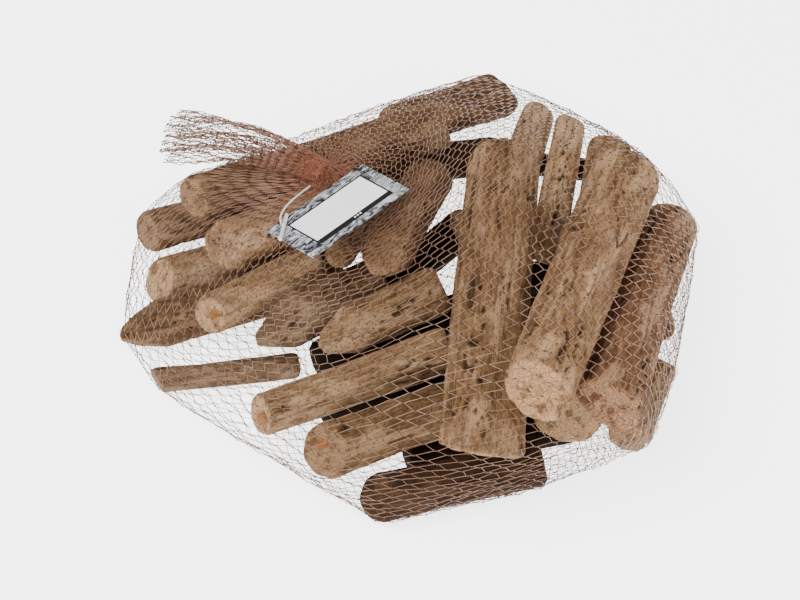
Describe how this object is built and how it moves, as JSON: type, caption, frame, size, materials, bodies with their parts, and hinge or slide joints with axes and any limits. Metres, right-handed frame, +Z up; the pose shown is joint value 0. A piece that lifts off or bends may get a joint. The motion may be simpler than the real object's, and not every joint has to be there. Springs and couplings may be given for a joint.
{
  "type": "net bag of sticks",
  "caption": "Short weathered sticks heaped in a net bag that is tied at the neck, with a card tag on a plastic pin.",
  "frame": {"origin": "middle of the box, at the height of the surface that the bag lies on", "axes": "+Z up, +X to the right of the view that the tag's face is turned to, +Y away from it, towards the back of the bag"},
  "size_m": [0.3116, 0.2946, 0.1101],
  "materials": {
    "wood_pale": "weathered, rough",
    "wood_mid": "weathered, rough",
    "wood_grey": "weathered, rough",
    "wood_dark": "weathered, rough",
    "wood_red": "weathered, rough",
    "net_plastic": "thin extruded net",
    "card": "coated card",
    "pin_plastic": "clear"
  },
  "bodies": {
    "root": {"core_left_stick": "wood_mid", "core_back_stick": "wood_mid", "core_right_stick": "wood_mid", "core_middle_stick": "wood_mid", "core_front_stick": "wood_mid", "core_low_stick": "wood_dark", "core_lowest_stick": "wood_dark", "core_inner_stick": "wood_dark", "core_upper_stick": "wood_dark", "core_far_stick": "wood_dark", "core_between_stick": "wood_dark", "front_floor_stick": "wood_dark", "front_thick_stick": "wood_mid", "thin_left_stick": "wood_grey", "pointed_left_stick": "wood_mid", "left_low_stick": "wood_pale", "left_upper_stick": "wood_mid", "long_top_stick": "wood_mid", "back_end_stick": "wood_dark", "broad_floor_stick": "wood_pale", "right_floor_stick": "wood_mid", "hollow_end_stick": "wood_pale", "pale_end_stick": "wood_pale", "wedge_stick": "wood_grey", "slant_cut_stick": "wood_pale", "short_cross_stick": "wood_mid", "small_tan_stick": "wood_pale", "round_end_stick": "wood_pale", "small_round_stick": "wood_mid", "stubby_stick": "wood_mid", "right_short_stick": "wood_dark", "back_short_stick": "wood_pale", "knot_hole_stick": "wood_mid", "pale_split_stick": "wood_pale", "big_front_stick": "wood_mid", "right_long_stick": "wood_red", "crossing_stick": "wood_mid", "net_bag": "net_plastic", "tag": "card", "tag_pin": "pin_plastic"}
  },
  "joints": []
}
